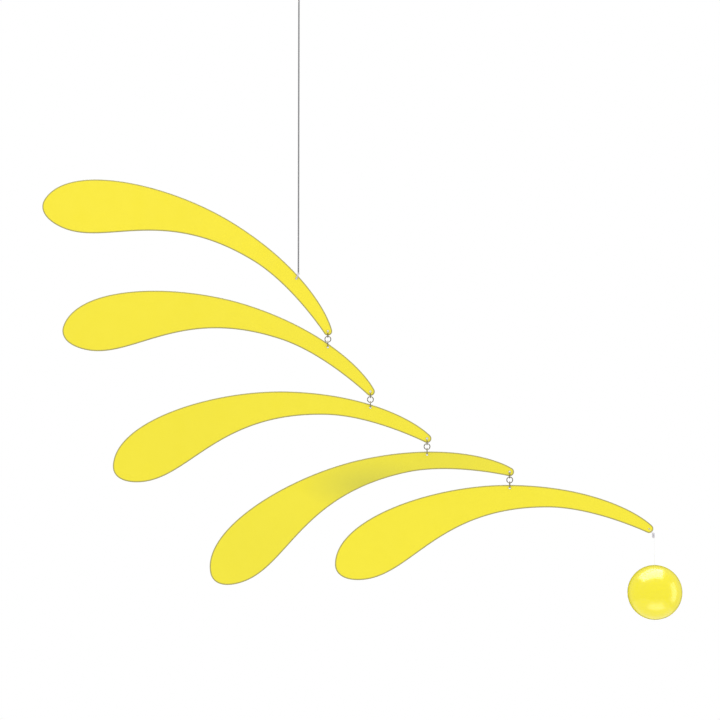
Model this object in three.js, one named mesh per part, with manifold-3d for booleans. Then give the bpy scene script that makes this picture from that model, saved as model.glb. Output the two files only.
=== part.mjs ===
// A hanging mobile: five alike leaf-shaped blades, chained tip to back by small metal rings, with a ball
// on a fine line at the last tip. Each blade hangs from a hole in its arched back, placed where it balances.
// Millimetres, +Z up. X runs along the blades, Y through their thickness. The origin is the inside top of
// the hanging loop, where a hook carries the whole mobile.
import * as THREE from "three";
import { mergeVertices } from "three/addons/utils/BufferGeometryUtils.js";
import Module from "manifold-3d";

const wasm = await Module();
wasm.setup();

// Clearances
const SEAT_GAP = 0.2; // between pieces that carry each other
const CORD_GAP = 0.3; // between a thread's end and what it runs into

// The blade's outline, measured from the centre of its tip hole: x towards the tip, y towards the back
const TIP_RADIUS = 4.4;
const TIP_ARC_START = degrees(-115);
const TIP_ARC_END = degrees(47);
const BACK_TOP = new THREE.Vector2(-142, 43.5);
const LOBE_END = new THREE.Vector2(-317, -37);
const LOBE_FOOT = new THREE.Vector2(-294, -53);
const HOLLOW_TOP = new THREE.Vector2(-102, 21);

// The outline's five curves in order from the tip: how far each leans along its first and its last heading
const TIP_TO_BACK = { leave: 24, arrive: 77.5 };
const BACK_TO_LOBE = { leave: 76, arrive: 46 };
const LOBE_TO_FOOT = { leave: 8, arrive: 17 };
const FOOT_TO_HOLLOW = { leave: 53.5, arrive: 114.5 };
const HOLLOW_TO_TIP = { leave: 44, arrive: 6 };

const SHEET = 1.2; // a blade's thickness
const EDGE_SEGMENTS = 16; // straight steps in each curve of the outline

// Holes
const HOLE_RADIUS = 1;
const FINE_HOLE_RADIUS = 0.45; // the last tip's, for the ball's line
const HOLE_SIDES = 14;
const BACK_INSET = 3.1; // hole centre to the back's edge

// How each blade hangs: its tip-down angle, and where along its back the hanging hole is
const BLADES = [
  { tilt: degrees(31.7), hangAt: -54.6 },
  { tilt: degrees(18.7), hangAt: -54.5 },
  { tilt: degrees(1.7), hangAt: -57.4 },
  { tilt: degrees(-12), hangAt: -77.5 },
  { tilt: degrees(0.25), hangAt: -140.6 },
];

// Links: three round rings of wire each
const RING_RADIUS = 2.97; // to the middle of the wire
const RING_WIRE = 0.9; // wire diameter
const RING_STEPS = 20;
const WIRE_SIDES = 8;
const RING_SEAT = HOLE_RADIUS - RING_WIRE / 2 - SEAT_GAP; // hole centre to the middle of the wire in it
const RING_PITCH = 2 * RING_RADIUS - RING_WIRE - SEAT_GAP; // between neighbouring ring centres
const LINK_DROP = 2 * (RING_SEAT + RING_RADIUS + RING_PITCH); // tip hole to the next blade's hanging hole

// Threads with their knots, and the ball
const THREAD = { radius: 0.75, sides: 8, steps: 24 };
const FINE_THREAD = { radius: 0.15, sides: 8, steps: 8 };
const THREAD_KNOT = { radius: 1.4, height: 2.6 };
const BALL_KNOT = { radius: 1.4, height: 5.6 }; // a long knot of many turns
const KNOT_SIDES = 10;
const KNOT_RINGS = 7;
const LOOP_STEPS = 20; // in each closed loop of thread
const LOOP_HEIGHT = 18;
const LOOP_WIDTH = 9;
const THREAD_DROP = 306; // inside top of the hanging loop to the knot on the first blade
const BLADE_TIE_ANGLE = degrees(68); // direction from the first blade's hanging hole to its knot
const BALL_TIE_ANGLE = degrees(-51); // direction from the last tip hole to the top of the ball's knot
const BALL_TIE_SLACK = 1.83; // how far the ball's loop stands off the tip's edge
const BALL_LINE_SIDE = 1; // how far to one side of the ball's knot its line leaves it
const BALL_DROP = 29.8; // middle of the ball's knot to the top of the ball
const BALL_RADIUS = 27.5;
const BALL_SIDES = 32;
const BALL_RINGS = 18;

const BLADE_YELLOW = { color: 0xf7e843, roughness: 0.42, metalness: 0 };
const BALL_YELLOW = { color: 0xf9ed4d, roughness: 0.18, metalness: 0 };
const RING_METAL = { color: 0x837d68, roughness: 0.3, metalness: 1 };
const THREAD_CLEAR = { color: 0xaaaaaa, roughness: 0.3, metalness: 0 };
const FINE_THREAD_CLEAR = { color: 0xd9d9d9, roughness: 0.4, metalness: 0 };

const LEFT = new THREE.Vector2(-1, 0);
const RIGHT = new THREE.Vector2(1, 0);
const DOWN = new THREE.Vector2(0, -1);

const mobile = new THREE.Group();

function degrees(angle) {
  return THREE.MathUtils.degToRad(angle);
}

function addMesh(parent, name, geometry, look) {
  const mesh = new THREE.Mesh(geometry, new THREE.MeshStandardMaterial(look));
  mesh.name = name;
  parent.add(mesh);
  return mesh;
}

// The point at a distance and an angle, in the plane of the blades.
function polar(length, angle) {
  return new THREE.Vector2(length * Math.cos(angle), length * Math.sin(angle));
}

function turned(point, angle) {
  return point.clone().rotateAround(new THREE.Vector2(), angle);
}

function inPlane(point) {
  return new THREE.Vector3(point.x, 0, point.y);
}

function toManifold(geometry) {
  const bare = geometry.clone();
  bare.deleteAttribute("normal");
  bare.deleteAttribute("uv");
  const merged = mergeVertices(bare, 1e-4);
  return new wasm.Manifold(
    new wasm.Mesh({
      numProp: 3,
      vertProperties: new Float32Array(merged.attributes.position.array),
      triVerts: new Uint32Array(merged.index.array),
    }),
  );
}

function joined(first, second) {
  const made = toManifold(first).add(toManifold(second)).getMesh();
  const geometry = new THREE.BufferGeometry();
  geometry.setAttribute("position", new THREE.BufferAttribute(made.vertProperties, 3));
  geometry.setIndex(new THREE.BufferAttribute(made.triVerts, 1));
  return geometry;
}

// ---- Blades ----

// A curve that sets off along one heading and comes in along another.
function curve(from, heading, to, lastHeading, { leave, arrive }) {
  const first = from.clone().addScaledVector(heading, leave);
  const last = to.clone().addScaledVector(lastHeading, -arrive);
  return new THREE.CubicBezierCurve(from, first, last, to);
}

// From the tip's round end up to the top of the arched back.
function backEdge() {
  const heading = polar(1, TIP_ARC_END + Math.PI / 2);
  return curve(polar(TIP_RADIUS, TIP_ARC_END), heading, BACK_TOP, LEFT, TIP_TO_BACK);
}

// Down the back to the broad lobe, round its foot, up the long S of the hollow side and out to the tip.
function outlineCurves() {
  const ontoTip = polar(1, TIP_ARC_START + Math.PI / 2);
  return [
    backEdge(),
    curve(BACK_TOP, LEFT, LOBE_END, DOWN, BACK_TO_LOBE),
    curve(LOBE_END, DOWN, LOBE_FOOT, RIGHT, LOBE_TO_FOOT),
    curve(LOBE_FOOT, RIGHT, HOLLOW_TOP, RIGHT, FOOT_TO_HOLLOW),
    curve(HOLLOW_TOP, RIGHT, polar(TIP_RADIUS, TIP_ARC_START), ontoTip, HOLLOW_TO_TIP),
  ];
}

// The centre of the hole that lies inside the back's edge at the given x, and the way out to that edge.
function hangingHole(x) {
  const edge = backEdge();
  let near = 0;
  let far = 1;
  while (far - near > 1e-9) {
    const middle = (near + far) / 2;
    if (edge.getPoint(middle).x > x) near = middle;
    else far = middle;
  }
  const tangent = edge.getTangent(near); // runs away from the tip
  const outward = new THREE.Vector2(tangent.y, -tangent.x);
  return { centre: edge.getPoint(near).addScaledVector(outward, -BACK_INSET), outward };
}

function roundHole(centre, radius) {
  const circle = new THREE.EllipseCurve(centre.x, centre.y, radius, radius, 0, 2 * Math.PI, true);
  return new THREE.Path().setFromPoints(circle.getPoints(HOLE_SIDES));
}

function bladeShape(hangingCentre, tipRadius) {
  const shape = new THREE.Shape();
  shape.absarc(0, 0, TIP_RADIUS, TIP_ARC_START, TIP_ARC_END, false);
  for (const { v1, v2, v3 } of outlineCurves()) {
    shape.bezierCurveTo(v1.x, v1.y, v2.x, v2.y, v3.x, v3.y);
  }
  shape.holes.push(roundHole(new THREE.Vector2(), tipRadius));
  shape.holes.push(roundHole(hangingCentre, HOLE_RADIUS));
  return shape;
}

// A sheet cut to the shape, standing in the XZ plane with its middle at y = 0 and the pivot at the origin.
function sheetOf(shape, pivot) {
  const sheet = new THREE.ExtrudeGeometry(shape, {
    depth: SHEET,
    bevelEnabled: false,
    curveSegments: EDGE_SEGMENTS,
  });
  sheet.translate(-pivot.x, -pivot.y, -SHEET / 2);
  return sheet.rotateX(Math.PI / 2);
}

// ---- Rings ----

// A link hangs from a tip hole: two rings stand across the blades, and the middle one lies in their plane.
function addLink(number, tip) {
  const link = new THREE.Group();
  link.position.copy(inPlane(tip));
  mobile.add(link);
  ["upper", "middle", "lower"].forEach((place, i) => {
    const ring = new THREE.TorusGeometry(RING_RADIUS, RING_WIRE / 2, WIRE_SIDES, RING_STEPS);
    const mesh = addMesh(link, `ring_${number}_${place}`, ring, RING_METAL);
    mesh.position.z = -(RING_SEAT + RING_RADIUS + i * RING_PITCH);
    if (place === "middle") mesh.rotation.x = Math.PI / 2;
    else mesh.rotation.y = Math.PI / 2;
  });
}

// ---- Threads ----

function threadTube(thread, from, to) {
  const circle = new THREE.EllipseCurve(0, 0, thread.radius, thread.radius, 0, 2 * Math.PI, false);
  const section = new THREE.Shape(circle.getPoints(thread.sides).slice(0, thread.sides));
  return new THREE.ExtrudeGeometry(section, {
    steps: thread.steps,
    extrudePath: new THREE.LineCurve3(from, to),
  });
}

function closedTube(thread, points) {
  const path = new THREE.CatmullRomCurve3(points, true);
  return new THREE.TubeGeometry(path, points.length, thread.radius, thread.sides, true);
}

function knotAt({ radius, height }, centre) {
  const knot = new THREE.SphereGeometry(radius, KNOT_SIDES, KNOT_RINGS).rotateX(Math.PI / 2);
  return knot.scale(1, 1, height / 2 / radius).translate(centre.x, centre.y, centre.z);
}

// The points of a closed loop, made from an angle that runs once round.
function loopPoints(pointAt) {
  return Array.from({ length: LOOP_STEPS }, (_, i) => pointAt((i / LOOP_STEPS) * 2 * Math.PI));
}

// From the hole that a tie goes through to the middle of its knot, which holds the far end of the loop.
function toKnot({ knot, towards, reach }) {
  const offset = towards.clone().multiplyScalar(reach + knot.radius / 2);
  return offset.addScaledVector(DOWN, knot.height / 2 - knot.radius);
}

// A loop of thread through a hole and round the sheet's edge, tied with a knot just outside the edge. The
// loop is a rounded rectangle that stands across the sheet, and its line reaches so far towards the knot.
function tieAt(hole, { thread, knot, holeRadius, towards, reach }) {
  const inner = holeRadius - thread.radius - SEAT_GAP / 2;
  const halfDepth = SHEET / 2 + thread.radius + SEAT_GAP;
  const rounded = (value) => Math.sign(value) * Math.sqrt(Math.abs(value));
  const points = loopPoints((angle) => {
    const along = (inner + reach) / 2 + ((reach - inner) / 2) * rounded(Math.cos(angle));
    const point = inPlane(hole.clone().addScaledVector(towards, along));
    return point.setY(halfDepth * rounded(Math.sin(angle)));
  });
  const knotCentre = hole.clone().add(toKnot({ knot, towards, reach }));
  return joined(closedTube(thread, points), knotAt(knot, inPlane(knotCentre)));
}

// A drop-shaped loop, wide at the top, that closes in its knot at angle 0.
function hangingLoop() {
  const widest = 4 / Math.sqrt(27); // the greatest sin(angle) * sin(angle / 2)
  const points = loopPoints((angle) => {
    const x = ((LOOP_WIDTH / 2) * Math.sin(angle) * Math.sin(angle / 2)) / widest;
    const z = THREAD.radius - (LOOP_HEIGHT / 2) * (1 + Math.cos(angle));
    return new THREE.Vector3(x, 0, z);
  });
  const knot = new THREE.Vector3(0, 0, THREAD.radius - LOOP_HEIGHT);
  return joined(closedTube(THREAD, points), knotAt(THREAD_KNOT, knot));
}

// ---- The mobile, from the top down ----

addMesh(mobile, "hanging_loop", hangingLoop(), THREAD_CLEAR);

const threadTop = new THREE.Vector3(0, 0, THREAD.radius - LOOP_HEIGHT - THREAD_KNOT.radius - CORD_GAP);
const threadEnd = new THREE.Vector3(0, 0, -THREAD_DROP + THREAD_KNOT.radius + CORD_GAP);
addMesh(mobile, "hanging_thread", threadTube(THREAD, threadTop, threadEnd), THREAD_CLEAR);

const bladeTie = {
  thread: THREAD,
  knot: THREAD_KNOT,
  holeRadius: HOLE_RADIUS,
  towards: polar(1, BLADE_TIE_ANGLE),
};
const firstOutward = turned(hangingHole(BLADES[0].hangAt).outward, -BLADES[0].tilt);
bladeTie.reach = (BACK_INSET + THREAD.radius + SEAT_GAP) / bladeTie.towards.dot(firstOutward);
let hangingPoint = new THREE.Vector2(0, -THREAD_DROP).sub(toKnot(bladeTie));
addMesh(mobile, "blade_tie", tieAt(hangingPoint, bladeTie), THREAD_CLEAR);

let tip;
BLADES.forEach(({ tilt, hangAt }, i) => {
  const hole = hangingHole(hangAt).centre;
  const isLast = i === BLADES.length - 1;
  const tipRadius = isLast ? FINE_HOLE_RADIUS : HOLE_RADIUS;
  const sheet = sheetOf(bladeShape(hole, tipRadius), hole);
  const blade = addMesh(mobile, `blade_${i + 1}`, sheet, BLADE_YELLOW);
  blade.position.copy(inPlane(hangingPoint));
  blade.rotation.y = tilt;
  tip = hangingPoint.clone().sub(turned(hole, -tilt));
  if (isLast) return;
  addLink(i + 1, tip);
  hangingPoint = tip.clone().sub(new THREE.Vector2(0, LINK_DROP));
});

const ballTie = {
  thread: FINE_THREAD,
  knot: BALL_KNOT,
  holeRadius: FINE_HOLE_RADIUS,
  towards: polar(1, BALL_TIE_ANGLE),
  reach: TIP_RADIUS + BALL_TIE_SLACK,
};
addMesh(mobile, "ball_tie", tieAt(tip, ballTie), FINE_THREAD_CLEAR);

const ballKnot = inPlane(tip.clone().add(toKnot(ballTie)));
const ballTop = ballKnot.clone().setX(ballKnot.x + BALL_LINE_SIDE).setZ(ballKnot.z - BALL_DROP);
const ballThreadTop = ballTop.clone().setZ(ballKnot.z - BALL_KNOT.height / 2 - CORD_GAP);
const ballThreadEnd = ballTop.clone().setZ(ballTop.z + CORD_GAP);
addMesh(mobile, "ball_thread", threadTube(FINE_THREAD, ballThreadTop, ballThreadEnd), FINE_THREAD_CLEAR);

const ball = new THREE.SphereGeometry(BALL_RADIUS, BALL_SIDES, BALL_RINGS).rotateX(Math.PI / 2);
addMesh(mobile, "ball", ball, BALL_YELLOW).position.copy(ballTop).setZ(ballTop.z - BALL_RADIUS);

export default mobile;
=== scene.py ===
# A hanging mobile: five yellow leaf-shaped blades on wire links, and a glossy ball. This script makes the
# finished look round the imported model, in metres and in the model's own frame: +Z up, X along the blades,
# Y across them, and the origin at the inside top of the hanging loop.
import math

import bmesh
import bpy
from mathutils import Matrix, Quaternion, Vector
from mathutils.geometry import interpolate_bezier, tessellate_polygon


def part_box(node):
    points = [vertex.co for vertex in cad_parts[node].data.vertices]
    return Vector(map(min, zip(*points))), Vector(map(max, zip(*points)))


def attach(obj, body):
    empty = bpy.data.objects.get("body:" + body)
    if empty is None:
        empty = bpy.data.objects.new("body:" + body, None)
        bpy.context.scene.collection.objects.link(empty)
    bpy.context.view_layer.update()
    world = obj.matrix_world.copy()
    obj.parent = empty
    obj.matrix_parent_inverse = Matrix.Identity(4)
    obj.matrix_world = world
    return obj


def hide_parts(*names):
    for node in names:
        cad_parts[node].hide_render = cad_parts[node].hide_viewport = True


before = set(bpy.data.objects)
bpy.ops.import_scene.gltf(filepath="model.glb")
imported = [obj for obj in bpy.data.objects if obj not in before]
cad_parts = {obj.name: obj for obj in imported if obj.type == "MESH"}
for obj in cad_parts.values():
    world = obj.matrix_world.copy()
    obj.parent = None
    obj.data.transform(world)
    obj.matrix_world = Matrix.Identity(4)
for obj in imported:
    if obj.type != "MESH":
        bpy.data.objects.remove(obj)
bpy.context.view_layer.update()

MM = 0.001

# The blade's outline, as in the model: from the centre of the tip hole, x towards the tip, y to the back
TIP_RADIUS = 4.4 * MM
TIP_ARC_START = math.radians(-115)
TIP_ARC_END = math.radians(47)
BACK_TOP = Vector((-142, 43.5)) * MM
LOBE_END = Vector((-317, -37)) * MM
LOBE_FOOT = Vector((-294, -53)) * MM
HOLLOW_TOP = Vector((-102, 21)) * MM
TIP_TO_BACK = (24 * MM, 77.5 * MM)  # how far each curve leans along its first and its last heading
BACK_TO_LOBE = (76 * MM, 46 * MM)
LOBE_TO_FOOT = (8 * MM, 17 * MM)
FOOT_TO_HOLLOW = (53.5 * MM, 114.5 * MM)
HOLLOW_TO_TIP = (44 * MM, 6 * MM)
SHEET = 1.2 * MM
BACK_INSET = 3.1 * MM
HOLE_RADIUS = 1 * MM
FINE_HOLE_RADIUS = 0.45 * MM  # the last tip's, for the ball's line
BLADES = [  # tip-down angle, and where along its back the blade hangs
    (math.radians(31.7), -54.6 * MM),
    (math.radians(18.7), -54.5 * MM),
    (math.radians(1.7), -57.4 * MM),
    (math.radians(-12), -77.5 * MM),
    (math.radians(0.25), -140.6 * MM),
]
CURVE_STEPS = 56
HOLE_STEPS = 40
EDGE_ROUND = 0.58 * MM  # the rounding of the sheet's outer edge, and of its holes
HOLE_ROUND = 0.25 * MM
ROUND_STEPS = 5
WORN_BORDER = 0.7 * MM  # how far the edge's wear reaches in from the rounding, and from that of a hole
HOLE_BORDER = 0.1 * MM

# Rings
RING_RADIUS = 2.97 * MM
RING_WIRE = 0.9 * MM
RING_JOINT = 0.12 * MM  # the gap where the bent wire's two ends meet
RING_SEAT = 0.35 * MM  # hole centre to the middle of the wire in it
RING_STEPS = 72
WIRE_SIDES = 16

# Threads and ball
THREAD_RADIUS = 0.75 * MM
FINE_RADIUS = 0.15 * MM
SEAT_GAP = 0.2 * MM
LOOP_HEIGHT = 18 * MM
LOOP_WIDTH = 9 * MM
THREAD_KNOT = (1.4 * MM, 2.6 * MM)  # radius and height
BALL_KNOT = (1.4 * MM, 5.6 * MM)
BLADE_TIE_ANGLE = math.radians(68)
BALL_TIE_ANGLE = math.radians(-51)
BALL_TIE_SLACK = 1.83 * MM
BALL_LINE_SIDE = 1 * MM  # how far to one side of the ball's knot its line leaves it
BALL_RADIUS = 27.5 * MM
LINE_DEPTH = 2 * MM  # how deep the line goes into the ball's bore
BORE_DEPTH = 3 * MM
BORE_RADIUS = 0.35 * MM
BORE_LIP = 0.25 * MM

LEFT = Vector((-1, 0))
RIGHT = Vector((1, 0))
DOWN = Vector((0, -1))
UP = Vector((0, 0, 1))

scene = bpy.context.scene


def polar(length, angle):
    return Vector((length * math.cos(angle), length * math.sin(angle)))


def turned(point, angle):
    return Matrix.Rotation(angle, 2) @ point


def in_plane(point, y=0.0):
    """A point of the blades' plane, from its x and height."""
    return Vector((point.x, y, point.y))


def centre_of(node):
    low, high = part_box(node)
    return (low + high) / 2


# ---- Camera, light and surroundings ----

VIEW_CENTRE = Vector((62.7, 0, -394)) * MM
VIEW_DISTANCE = 2.4
VIEW_RISE = math.radians(4.1)  # the camera looks up by this much
VIEW_WIDTH = 731 * MM  # how much is in view across the mobile


def make_camera():
    heading = Vector((0, math.cos(VIEW_RISE), math.sin(VIEW_RISE)))
    data = bpy.data.cameras.new("camera")
    camera = bpy.data.objects.new("camera", data)
    camera.location = VIEW_CENTRE - heading * VIEW_DISTANCE
    camera.rotation_euler = heading.to_track_quat("-Z", "Y").to_euler()
    data.lens = data.sensor_width * VIEW_DISTANCE / VIEW_WIDTH
    scene.collection.objects.link(camera)
    scene.camera = camera


WHITE_TO_EYE = 1.0  # how bright the surround is to the camera and to matt surfaces
WHITE_TO_MATT = 1.185
WHITE_THROUGH_LINE = 0.27  # and to what is seen through a clear line
SHINE_FRONT = 0.4  # how bright its reflections are from the front, from round the sides and from behind
SHINE_SIDES = 0.5
SHINE_BACK = 0.05
FRONT_FADE = (-0.9, -0.3)  # the headings, along Y, between which the front's level gives way to the sides'
BACK_FADE = (0.7, 0.9)  # and the sides' to the back's


def ranged(tree, source, low, high, start, end):
    """The source's stretch from start to end, as numbers from low to high."""
    node = tree.nodes.new("ShaderNodeMapRange")
    for socket, value in zip(("From Min", "From Max", "To Min", "To Max"), (start, end, low, high)):
        node.inputs[socket].default_value = value
    tree.links.new(source, node.inputs["Value"])
    return node.outputs["Result"]


def make_world():
    """A white surround that is softer in reflections, most of all those from straight ahead and behind."""
    world = bpy.data.worlds.new("white_surround")
    world.use_nodes = True
    tree = world.node_tree
    nodes, links = tree.nodes, tree.links
    nodes.clear()

    def white(strength):
        """A white background, as strong as a plain number or another node's output says."""
        background = nodes.new("ShaderNodeBackground")
        background.inputs["Color"].default_value = (1, 1, 1, 1)
        if isinstance(strength, float):
            background.inputs["Strength"].default_value = strength
        else:
            links.new(strength, background.inputs["Strength"])
        return background.outputs[0]

    def mixed(factor, first, second):
        mix = nodes.new("ShaderNodeMixShader")
        for socket, source in zip(mix.inputs, (factor, first, second)):
            links.new(source, socket)
        return mix.outputs[0]

    parts = nodes.new("ShaderNodeSeparateXYZ")
    links.new(nodes.new("ShaderNodeTexCoord").outputs["Generated"], parts.inputs[0])
    ahead = ranged(tree, parts.outputs["Y"], SHINE_FRONT, SHINE_SIDES, *FRONT_FADE)
    behind = ranged(tree, parts.outputs["Y"], 1.0, SHINE_BACK / SHINE_SIDES, *BACK_FADE)
    shine = nodes.new("ShaderNodeMath")
    shine.operation = "MULTIPLY"
    links.new(ahead, shine.inputs[0])
    links.new(behind, shine.inputs[1])
    path = nodes.new("ShaderNodeLightPath")
    matt = mixed(path.outputs["Is Camera Ray"], white(WHITE_TO_MATT), white(WHITE_TO_EYE))
    outside = mixed(path.outputs["Is Glossy Ray"], matt, white(shine.outputs[0]))
    whole = mixed(path.outputs["Is Transmission Ray"], outside, white(WHITE_THROUGH_LINE))
    links.new(whole, nodes.new("ShaderNodeOutputWorld").inputs["Surface"])
    scene.world = world


LIGHTS = (  # name, size, place from the ball's centre, facing and brightness
    ("top_light", (1.8, 1.2), Vector((-0.34, 0.02, 1.2)), Vector((0, 0, -1)), 6.2),
    ("right_light", (0.75, 1.6), Vector((1.5, -0.22, 0)), Vector((-1, 0, 0)), 2.2),
    ("low_light", (0.75, 0.5), Vector((0.02, -0.4, -0.65)), Vector((0, 0, 1)), 1.9),
)


def soft_box(name, size, place, facing, brightness):
    """A rectangular soft light that shows only in glossy surfaces, as bright there at any size."""
    data = bpy.data.lights.new(name, "AREA")
    data.shape = "RECTANGLE"
    data.size, data.size_y = size
    data.energy = brightness * math.pi * size[0] * size[1]
    light = bpy.data.objects.new(name, data)
    light.location = place
    light.rotation_euler = facing.to_track_quat("-Z", "Y").to_euler()
    light.visible_camera = False
    light.visible_diffuse = False
    scene.collection.objects.link(light)


FLOOR_SIZE = 2.2
FLOOR_HEIGHT = -1.3
FLOOR_COLOUR = (0.86, 0.86, 0.85, 1)
FLOOR_ROUGHNESS = 0.9


def make_floor():
    bpy.ops.mesh.primitive_plane_add(size=FLOOR_SIZE, location=(0, 0, FLOOR_HEIGHT))
    floor = bpy.context.object
    floor.name = "floor"
    material = bpy.data.materials.new("pale_floor")
    material.use_nodes = True
    shader = material.node_tree.nodes["Principled BSDF"]
    shader.inputs["Base Color"].default_value = FLOOR_COLOUR
    shader.inputs["Roughness"].default_value = FLOOR_ROUGHNESS
    floor.data.materials.append(material)


make_camera()
make_world()
for name, size, offset, facing, brightness in LIGHTS:
    soft_box(name, size, centre_of("ball") + offset, facing, brightness)
make_floor()
scene.view_settings.view_transform = "Standard"


# ---- Materials ----

NOISE_REACH = (0.3, 0.7)  # where nearly all of a noise's values lie


class Surface:
    """A principled material and the few kinds of node that these finishes share.

    plain gives the sockets that are the same all over, with _ for each space in their names.
    """

    def __init__(self, name, **plain):
        self.material = bpy.data.materials.new(name)
        self.material.use_nodes = True
        self.tree = self.material.node_tree
        self.nodes, self.links = self.tree.nodes, self.tree.links
        self.shader = self.nodes["Principled BSDF"]
        for socket, value in plain.items():
            self.shader.inputs[socket.replace("_", " ")].default_value = value
        self.place = self.nodes.new("ShaderNodeTexCoord").outputs["Object"]

    def noise(self, fineness, detail=3.0):
        """Noise of so many features to the metre."""
        texture = self.nodes.new("ShaderNodeTexNoise")
        texture.inputs["Scale"].default_value = fineness
        texture.inputs["Detail"].default_value = detail
        self.links.new(self.place, texture.inputs["Vector"])
        return texture.outputs["Fac"]

    def spread(self, fineness, low, high):
        """Noise spread over the numbers from low to high."""
        return ranged(self.tree, self.noise(fineness), low, high, *NOISE_REACH)

    def ball(self, place, size):
        """1 at a place, falling to 0 at an ellipsoid of so many metres from middle to edge round it."""
        mapping = self.nodes.new("ShaderNodeMapping")
        mapping.vector_type = "TEXTURE"
        mapping.inputs["Location"].default_value = place
        mapping.inputs["Scale"].default_value = size
        gradient = self.nodes.new("ShaderNodeTexGradient")
        gradient.gradient_type = "SPHERICAL"
        self.links.new(self.place, mapping.inputs["Vector"])
        self.links.new(mapping.outputs[0], gradient.inputs["Vector"])
        return gradient.outputs["Fac"]

    def blend(self, factor, first, second):
        """From the first colour to the second. Either is a colour or the output of another node."""
        mix = self.nodes.new("ShaderNodeMix")
        mix.data_type = "RGBA"
        self.links.new(factor, mix.inputs["Factor"])
        colour_sockets = [socket for socket in mix.inputs if socket.type == "RGBA"]
        for socket, colour in zip(colour_sockets, (first, second)):
            if isinstance(colour, tuple):
                socket.default_value = (*colour, 1)
            else:
                self.links.new(colour, socket)
        return next(socket for socket in mix.outputs if socket.type == "RGBA")

    def colour(self, source):
        self.links.new(source, self.shader.inputs["Base Color"])

    def roughness(self, source):
        self.links.new(source, self.shader.inputs["Roughness"])

    def grain(self, fineness, detail, depth, strength):
        """Fine unevenness: so many features to the metre, with so much detail, and so deep and strong."""
        bump = self.nodes.new("ShaderNodeBump")
        bump.inputs["Distance"].default_value = depth
        bump.inputs["Strength"].default_value = strength
        self.links.new(self.noise(fineness, detail), bump.inputs["Height"])
        self.links.new(bump.outputs["Normal"], self.shader.inputs["Normal"])


def mottled(name, colours, clouds, roughness, streaks, grain=None, **plain):
    """A finish that clouds between two colours and between two roughnesses.

    clouds and streaks say how fine that is, in features to the metre.
    """
    surface = Surface(name, **plain)
    surface.colour(surface.blend(surface.spread(clouds, 0, 1), *colours))
    surface.roughness(surface.spread(streaks, *roughness))
    if grain:
        surface.grain(*grain)
    return surface.material


BLADE_YELLOWS = (  # from the top blade down
    (0.856, 0.731, 0.012),
    (0.832, 0.717, 0.014),
    (0.820, 0.712, 0.014),
    (0.814, 0.714, 0.016),
    (0.842, 0.732, 0.012),
)
CLOUD_SHADE = 0.985
SHEET_CLOUDS = 14
SHEET_STREAKS = 70
SHEET_ROUGHNESS = (0.38, 0.5)
SHEET_GRAIN = (1400, 2, 0.03 * MM, 0.5)
# Painted shade: on the fourth blade, soft patches of a darker, greyer yellow stand in for the shade that
# falls across it
PAINTED_SHADE_YELLOW = (0.60, 0.56, 0.036)
SHADED_BLADE = 4
SHADE_PATCHES = (  # middle, reach along the sheet, across it and up it, and strength
    (Vector((73, 0, -521)) * MM, Vector((70, 40, 29)) * MM, 0.9),
    (Vector((135, 0, -496)) * MM, Vector((120, 60, 60)) * MM, 0.28),
)
SHADE_PATCH_REACH = (0, 0.9)  # a patch is at full strength from the second of these, out of 1 at its middle


def sheet_finish(number):
    """Satin yellow sheet: faint clouding, a fine orange-peel grain and, on one blade, soft patches of
    painted shade.
    """
    surface = Surface(f"yellow_sheet_{number}")
    yellow = BLADE_YELLOWS[number - 1]
    deeper = tuple(CLOUD_SHADE * c for c in yellow)
    colour = surface.blend(surface.spread(SHEET_CLOUDS, 0, 1), yellow, deeper)
    patches = SHADE_PATCHES if number == SHADED_BLADE else ()
    # on that blade, each patch blends the yellow towards the darker yellow of the painted shade
    for place, size, strength in patches:
        painted_shade = ranged(surface.tree, surface.ball(place, size), 0, strength, *SHADE_PATCH_REACH)
        colour = surface.blend(painted_shade, colour, PAINTED_SHADE_YELLOW)
    surface.colour(colour)
    surface.roughness(surface.spread(SHEET_STREAKS, *SHEET_ROUGHNESS))
    surface.grain(*SHEET_GRAIN)
    return surface.material


# The sheet's cut edge, greyed and rougher, and the face's last half millimetre, where the yellow is worn
CUT_EDGES = ((0.33, 0.29, 0.1), (0.25, 0.22, 0.09))
CUT_GRAIN = (2600, 2, 0.04 * MM, 0.6)
EDGE = mottled("cut_edge", CUT_EDGES, 220, (0.5, 0.75), 900, CUT_GRAIN)
WORN_YELLOWS = ((0.5, 0.44, 0.04), (0.43, 0.385, 0.045))
BORDER = mottled("worn_border", WORN_YELLOWS, 400, (0.42, 0.6), 900, SHEET_GRAIN)

# Bright drawn wire, a little tarnished
WIRE_METALS = ((0.27, 0.245, 0.18), (0.16, 0.145, 0.095))
WIRE_GRAIN = (5200, 4, 0.01 * MM, 0.5)
WIRE = mottled("drawn_wire", WIRE_METALS, 500, (0.22, 0.42), 1200, WIRE_GRAIN, Metallic=1.0)

# Clear line where it runs straight, and milky where it is tied or very fine
CLEARS = ((0.97, 0.97, 0.98), (0.9, 0.9, 0.92))
CLEAR_LINE = mottled("clear_line", CLEARS, 300, (0.06, 0.14), 1500, Transmission_Weight=1.0, IOR=1.12)
MILKY = (300, (0.3, 0.5), 1500)
TIED_LINE = mottled("tied_line", ((0.55, 0.53, 0.56), (0.48, 0.46, 0.49)), *MILKY)
FINE_LINE = mottled("fine_line", ((0.82, 0.82, 0.84), (0.76, 0.76, 0.78)), *MILKY)
WOUND_LINE = mottled("wound_line", ((0.66, 0.64, 0.68), (0.58, 0.56, 0.6)), *MILKY)

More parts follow.
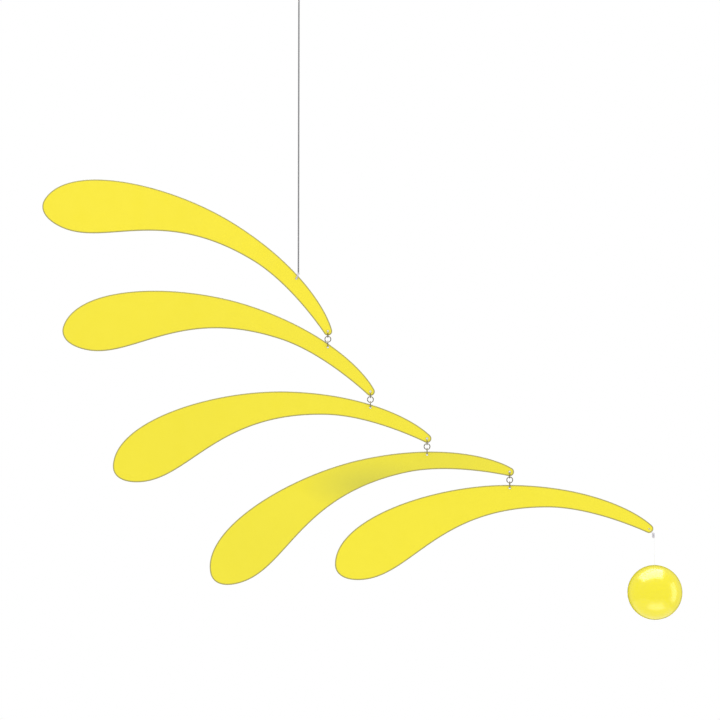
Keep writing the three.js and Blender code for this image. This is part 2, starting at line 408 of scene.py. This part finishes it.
# Moulded gloss plastic: even yellow with a trace of clouding under a clear shine
BALL_YELLOWS = ((0.85, 0.75, 0.018), (0.835, 0.735, 0.022))
BALL_GRAIN = (420, 2, 0.04 * MM, 0.35)
BALL_COAT = {"Coat_Weight": 0.25, "Coat_Roughness": 0.15}
BALL_GLOSS = mottled("gloss_yellow", BALL_YELLOWS, 45, (0.2, 0.26), 160, BALL_GRAIN, **BALL_COAT)


# ---- Meshes ----


def add_piece(name, mesh_maker, materials, body, node):
    """Makes the piece's mesh with mesh_maker, and puts it on its body in place of the CAD node."""
    bm = bmesh.new()
    mesh_maker(bm)
    bmesh.ops.recalc_face_normals(bm, faces=bm.faces)
    mesh = bpy.data.meshes.new(name)
    bm.to_mesh(mesh)
    bm.free()
    for material in materials:
        mesh.materials.append(material)
    piece = bpy.data.objects.new(name, mesh)
    scene.collection.objects.link(piece)
    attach(piece, body)
    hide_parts(node)
    return piece


def bridge(bm, first, second, material=0):
    """Quads between two closed rows of vertices."""
    count = len(first)
    for i in range(count):
        j = (i + 1) % count
        face = bm.faces.new((first[i], first[j], second[j], second[i]))
        face.smooth = True
        face.material_index = material


def fan(bm, ring, centre):
    """Closes a ring with triangles to a middle point."""
    middle = bm.verts.new(centre)
    for i, vertex in enumerate(ring):
        bm.faces.new((vertex, ring[(i + 1) % len(ring)], middle)).smooth = True


def headings(points, closed):
    """The line's heading at each of its points."""
    count = len(points)
    found = []
    for i in range(count):
        before = points[i - 1] if closed or i else points[0]
        after = points[(i + 1) % count] if closed or i < count - 1 else points[-1]
        found.append((after - before).normalized())
    return found


def carried_normals(tangents, closed):
    """A normal at each point, carried along the line without twist and brought back to itself on a loop."""
    side = tangents[0].orthogonal().normalized()
    normals = [side]
    for before, after in zip(tangents, tangents[1:]):
        side = (before.rotation_difference(after) @ side).normalized()
        normals.append(side)
    if closed:
        last = tangents[-1].rotation_difference(tangents[0]) @ side
        off = math.atan2(last.cross(normals[0]).dot(tangents[0]), last.dot(normals[0]))
        count = len(normals)
        normals = [Quaternion(t, off * i / count) @ n for i, (t, n) in enumerate(zip(tangents, normals))]
    return normals


def tube(bm, points, radius, sides, closed=False):
    """A round tube along the points."""
    tangents = headings(points, closed)
    rings = []
    for point, tangent, normal in zip(points, tangents, carried_normals(tangents, closed)):
        turns = (Quaternion(tangent, 2 * math.pi * k / sides) for k in range(sides))
        rings.append([bm.verts.new(point + radius * (turn @ normal)) for turn in turns])
    for first, second in zip(rings, rings[1:]):
        bridge(bm, first, second)
    if closed:
        bridge(bm, rings[-1], rings[0])
    else:
        fan(bm, rings[0], points[0])
        fan(bm, rings[-1], points[-1])


def loop_of(point_at, steps):
    """A closed run of points, from a function of the angle gone round."""
    return [point_at(2 * math.pi * i / steps) for i in range(steps)]


# ---- Blades ----

EDGE_INDEX = 1  # which of a blade's materials its edges have, and its worn borders
BORDER_INDEX = 2


def curve(start, heading, end, last_heading, leans):
    """A curve that leaves along one heading and arrives along another."""
    first = start + heading * leans[0]
    last = end - last_heading * leans[1]
    return interpolate_bezier(start, first, last, end, CURVE_STEPS + 1)


def back_edge():
    """The back's arch, from the tip to its top."""
    heading = polar(1, TIP_ARC_END + math.pi / 2)
    return curve(polar(TIP_RADIUS, TIP_ARC_END), heading, BACK_TOP, LEFT, TIP_TO_BACK)


def blade_edge():
    """The blade's outline, once round against the clock."""
    tip_steps = CURVE_STEPS // 2
    sweep = TIP_ARC_END - TIP_ARC_START
    points = [polar(TIP_RADIUS, TIP_ARC_START + sweep * i / tip_steps) for i in range(tip_steps)]
    onto_tip = polar(1, TIP_ARC_START + math.pi / 2)
    curves = (
        back_edge(),
        curve(BACK_TOP, LEFT, LOBE_END, DOWN, BACK_TO_LOBE),
        curve(LOBE_END, DOWN, LOBE_FOOT, RIGHT, LOBE_TO_FOOT),
        curve(LOBE_FOOT, RIGHT, HOLLOW_TOP, RIGHT, FOOT_TO_HOLLOW),
        curve(HOLLOW_TOP, RIGHT, polar(TIP_RADIUS, TIP_ARC_START), onto_tip, HOLLOW_TO_TIP),
    )
    for part in curves:
        points.extend(part[:-1])
    return points


def hanging_hole(x):
    """The centre of the hole inside the back's edge at the given x, and the way out to that edge."""
    edge = back_edge()
    for before, after in zip(edge, edge[1:]):
        if after.x <= x:
            along = after - before
            on_edge = before + along * ((x - before.x) / along.x)
            outward = Vector((along.y, -along.x)).normalized()
            return on_edge - outward * BACK_INSET, outward
    raise ValueError("the hole lies past the top of the back")


def round_hole(centre, radius):
    """Once round with the clock, because its inside is outside the sheet."""
    return [centre + polar(radius, -2 * math.pi * i / HOLE_STEPS) for i in range(HOLE_STEPS)]


def into_sheet(points):
    """At each point of an edge, the way into the sheet."""
    found = []
    for before, after in zip([points[-1], *points[:-1]], [*points[1:], points[0]]):
        along = (after - before).normalized()
        found.append(Vector((-along.y, along.x)))
    return found


def edge_profile(rounding, border):
    """From the front face round to the back face: how far into the sheet, and how deep."""
    half = SHEET / 2
    front = [(rounding + border, -half)]
    for i in range(ROUND_STEPS + 1):
        angle = math.pi / 2 * i / ROUND_STEPS
        front.append((rounding * (1 - math.sin(angle)), rounding * (1 - math.cos(angle)) - half))
    return front + [(inset, -depth) for inset, depth in reversed(front)]


def sheet_mesh(bm, edges, place):
    """A sheet with rounded edges, as (points, rounding, border) with the outer one first.

    place(point, depth) puts a point of the outline into the frame.
    """
    fronts, backs = [], []
    for points, rounding, border in edges:
        inward = into_sheet(points)
        rows = []
        for inset, depth in edge_profile(rounding, border):
            rows.append([bm.verts.new(place(p + n * inset, depth)) for p, n in zip(points, inward)])
        last = len(rows) - 2
        for i, (first, second) in enumerate(zip(rows, rows[1:])):
            bridge(bm, first, second, BORDER_INDEX if i in (0, last) else EDGE_INDEX)
        fronts.append(rows[0])
        backs.append(rows[-1])
    for rims in (fronts, backs):
        flat = [[Vector((v.co.x, v.co.z, 0)) for v in rim] for rim in rims]
        vertices = [v for rim in rims for v in rim]
        for triangle in tessellate_polygon(flat):
            bm.faces.new([vertices[i] for i in triangle])


def add_blade(number, tip):
    tilt, hang_at = BLADES[number - 1]
    tip_radius = FINE_HOLE_RADIUS if number == len(BLADES) else HOLE_RADIUS
    edges = (
        (blade_edge(), EDGE_ROUND, WORN_BORDER),
        (round_hole(Vector((0, 0)), tip_radius), HOLE_ROUND, HOLE_BORDER),
        (round_hole(hanging_hole(hang_at)[0], HOLE_RADIUS), HOLE_ROUND, HOLE_BORDER),
    )
    add_piece(
        f"blade_{number}_sheet",
        lambda bm: sheet_mesh(bm, edges, lambda p, depth: in_plane(tip + turned(p, -tilt), depth)),
        (sheet_finish(number), EDGE, BORDER),
        f"tier_{number}",
        f"blade_{number}",
    )


def blade_tip(number):
    """The centre of the blade's tip hole, from the ring that hangs in it or that holds the blade."""
    drop = Vector((0, RING_SEAT + RING_RADIUS))
    if number < len(BLADES):
        ring = centre_of(f"ring_{number}_upper")
        return Vector((ring.x, ring.z)) + drop
    ring = centre_of(f"ring_{number - 1}_lower")
    tilt, hang_at = BLADES[number - 1]
    return Vector((ring.x, ring.z)) - drop - turned(hanging_hole(hang_at)[0], -tilt)


tips = [blade_tip(number) for number in range(1, len(BLADES) + 1)]
for number, tip in enumerate(tips, 1):
    add_blade(number, tip)


# ---- Rings ----


def add_ring(number, place):
    """A ring of bent wire, with its butt joint behind the blade or, on the middle ring, to one side."""
    centre = centre_of(f"ring_{number}_{place}")
    side = Vector((-1, 0, 0)) if place == "middle" else Vector((0, 1, 0))
    half_gap = RING_JOINT / 2 / RING_RADIUS
    points = []
    for i in range(RING_STEPS + 1):
        angle = half_gap + (2 * math.pi - 2 * half_gap) * i / RING_STEPS
        points.append(centre + RING_RADIUS * (side * math.cos(angle) + UP * math.sin(angle)))
    body = f"tier_{number + 1}" if place == "lower" else f"tier_{number}"
    add_piece(
        f"ring_{number}_{place}_wire",
        lambda bm: tube(bm, points, RING_WIRE / 2, WIRE_SIDES),
        (WIRE,),
        body,
        f"ring_{number}_{place}",
    )


for number in range(1, len(BLADES)):
    for place in ("upper", "middle", "lower"):
        add_ring(number, place)


# ---- Threads ----

LINE_SIDES = 16
FINE_SIDES = 10
STRAIGHT_STEPS = 24
TIE_STEPS = 96
DROP_STEPS = 160
KNOT_STEPS = 72
KNOT_RISE = 1.6  # an overhand knot's height for its width
KNOT_WRAPS = 22  # turns of fine line in the ball's knot
WRAP_STEPS = 12
BARREL = 0.3  # how round the ball's knot is along its length: 1 is a ball and 0 a straight barrel


def line_between(start, end):
    return [start.lerp(end, i / STRAIGHT_STEPS) for i in range(STRAIGHT_STEPS + 1)]


def line_maker(points, closed=False):
    """Makes a tube of the hanging line's thickness."""
    return lambda bm: tube(bm, points, THREAD_RADIUS, LINE_SIDES, closed)


def fine_maker(points, closed=False):
    """Makes a tube of the ball line's thickness."""
    return lambda bm: tube(bm, points, FINE_RADIUS, FINE_SIDES, closed)


def both(*makers):
    """Makes one mesh of several runs of line."""

    def make(bm):
        for maker in makers:
            maker(bm)

    return make


def fuller(value):
    """Drawn out towards 1 or -1, which makes a circle's path a rounded square's."""
    return math.copysign(math.sqrt(abs(value)), value)


def tie_points(hole, hole_radius, towards, reach, radius):
    """A loop through a hole and round the sheet's edge, whose line reaches so far towards the knot."""
    inner = hole_radius - radius - SEAT_GAP / 2
    half_depth = SHEET / 2 + radius + SEAT_GAP

    def point_at(angle):
        along = (inner + reach) / 2 + (reach - inner) / 2 * fuller(math.cos(angle))
        return in_plane(hole + towards * along, half_depth * fuller(math.sin(angle)))

    return loop_of(point_at, TIE_STEPS)


def knot_beyond(hole, towards, reach, knot):
    """The middle of a tie's knot, which holds the far end of its loop."""
    knot_radius, knot_height = knot
    return in_plane(hole + towards * (reach + knot_radius / 2) + DOWN * (knot_height / 2 - knot_radius))


def drop_loop():
    """The hanging loop's line: a drop, wide at the top, that closes at its knot."""
    widest = 4 / math.sqrt(27)  # the most that x's two sines come to

    def point_at(angle):
        x = LOOP_WIDTH / 2 * math.sin(angle) * math.sin(angle / 2) / widest
        return Vector((x, 0, THREAD_RADIUS - LOOP_HEIGHT / 2 * (1 + math.cos(angle))))

    return loop_of(point_at, DROP_STEPS)


def overhand_knot(centre):
    """The closed run of line that an overhand knot shows when pulled tight."""
    scale = (THREAD_KNOT[0] - THREAD_RADIUS) / 3

    def point_at(angle):
        across = (2 + math.cos(3 * angle)) * scale
        height = KNOT_RISE * scale * math.sin(3 * angle)
        return centre + Vector((across * math.cos(2 * angle), across * math.sin(2 * angle), height))

    return loop_of(point_at, KNOT_STEPS)


def wound_knot(centre):
    """Fine line wound down round a barrel and straight back up through its middle."""
    widest, half_height = BALL_KNOT[0] - FINE_RADIUS, BALL_KNOT[1] / 2 - FINE_RADIUS

    def point_at(angle):
        reach = widest * max(0, math.sin(angle)) ** BARREL
        turn = 2 * KNOT_WRAPS * angle
        height = half_height * math.cos(angle)
        return centre + Vector((reach * math.cos(turn), reach * math.sin(turn), height))

    return loop_of(point_at, 2 * KNOT_WRAPS * WRAP_STEPS)


def add_hanging_thread():
    top = Vector((0, 0, THREAD_RADIUS - LOOP_HEIGHT))
    tilt, hang_at = BLADES[0]
    hole, outward = hanging_hole(hang_at)
    hole, outward = tips[0] + turned(hole, -tilt), turned(outward, -tilt)
    towards = polar(1, BLADE_TIE_ANGLE)
    reach = (BACK_INSET + THREAD_RADIUS + SEAT_GAP) / towards.dot(outward)
    knot = knot_beyond(hole, towards, reach, THREAD_KNOT)
    loop = add_piece(
        "hanging_loop_tied",
        both(line_maker(drop_loop(), True), line_maker(overhand_knot(top), True)),
        (TIED_LINE,),
        "hanger",
        "hanging_loop",
    )
    tie_loop = tie_points(hole, HOLE_RADIUS, towards, reach, THREAD_RADIUS)
    tie = add_piece(
        "blade_tie_tied",
        both(line_maker(tie_loop, True), line_maker(overhand_knot(knot), True)),
        (TIED_LINE,),
        "tier_1",
        "blade_tie",
    )
    path = line_between(knot, top)
    thread = add_piece(
        "hanging_line", line_maker(path), (CLEAR_LINE,), "hanger", "hanging_thread"
    )


def add_ball_thread():
    towards = polar(1, BALL_TIE_ANGLE)
    reach = TIP_RADIUS + BALL_TIE_SLACK
    knot = knot_beyond(tips[-1], towards, reach, BALL_KNOT)
    tie_loop = tie_points(tips[-1], FINE_HOLE_RADIUS, towards, reach, FINE_RADIUS)
    tie = add_piece(
        "ball_tie_tied",
        both(fine_maker(tie_loop, True), fine_maker(wound_knot(knot), True)),
        (WOUND_LINE,),
        "tier_5",
        "ball_tie",
    )
    start = knot + Vector((BALL_LINE_SIDE, 0, 0))
    end = centre_of("ball") + UP * (BALL_RADIUS - LINE_DEPTH)
    path = line_between(start, end)
    line = add_piece("ball_line", fine_maker(path), (FINE_LINE,), "tier_5", "ball_thread")


add_hanging_thread()
add_ball_thread()


# ---- Ball ----

BALL_SIDES = 96
BALL_RINGS = 72
LIP_STEPS = 4


def ball_profile():
    """From the bore's floor out over its rounded lip and down the sphere: radius and height."""
    rise = math.asin((BORE_RADIUS + BORE_LIP) / BALL_RADIUS)
    rim = BALL_RADIUS * math.cos(rise)
    profile = [(BORE_RADIUS, rim - BORE_DEPTH)]
    for i in range(LIP_STEPS):
        angle = math.pi / 2 * i / LIP_STEPS
        out, up = 1 - math.cos(angle), 1 - math.sin(angle)
        profile.append((BORE_RADIUS + BORE_LIP * out, rim - BORE_LIP * up))
    for i in range(BALL_RINGS):
        angle = rise + (math.pi - rise) * i / BALL_RINGS
        profile.append((BALL_RADIUS * math.sin(angle), BALL_RADIUS * math.cos(angle)))
    return profile


def add_ball():
    """A sphere with a small bore at its top, where the line goes in."""
    centre = centre_of("ball")
    profile = ball_profile()

    def make(bm):
        rows = []
        for radius, height in profile:
            around = loop_of(lambda angle: polar(radius, angle).to_3d(), BALL_SIDES)
            rows.append([bm.verts.new(centre + UP * height + offset) for offset in around])
        for first, second in zip(rows, rows[1:]):
            bridge(bm, first, second)
        fan(bm, rows[0], centre + UP * profile[0][1])
        fan(bm, rows[-1], centre - UP * BALL_RADIUS)

    add_piece("ball_shell", make, (BALL_GLOSS,), "tier_5", "ball")


add_ball()
